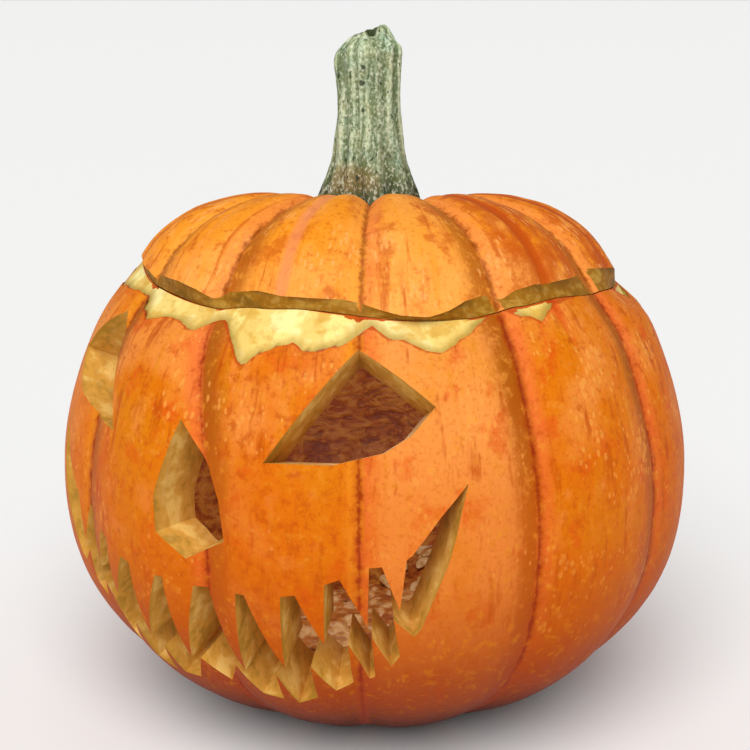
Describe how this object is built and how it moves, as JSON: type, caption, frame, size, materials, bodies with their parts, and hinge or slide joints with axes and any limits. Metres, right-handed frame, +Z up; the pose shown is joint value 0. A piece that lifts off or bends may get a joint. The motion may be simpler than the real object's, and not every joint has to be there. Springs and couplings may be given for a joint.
{
  "type": "carved pumpkin lantern",
  "caption": "Hollow ribbed pumpkin carved as a lantern, with slanted eyes, a pointed nose and a toothed grin, and a cut-off lid that carries the stem.",
  "frame": {"origin": "on the table under the middle of the pumpkin's bounding box", "axes": "+Z up along the pumpkin's axis; the carved face looks towards -Y; +X is towards the eye on the viewer's right"},
  "size_m": [0.2971, 0.2974, 0.324],
  "materials": {
    "pumpkin_rind": "satin waxy orange rind over pale yellow flesh",
    "pumpkin_rind_lid": "satin waxy orange rind, a little yellower than the body",
    "pumpkin_stem": "dry, ribbed and mottled grey-green"
  },
  "bodies": {
    "root": {"body": "pumpkin_rind", "lid": "pumpkin_rind_lid", "stem": "pumpkin_stem"}
  },
  "joints": []
}
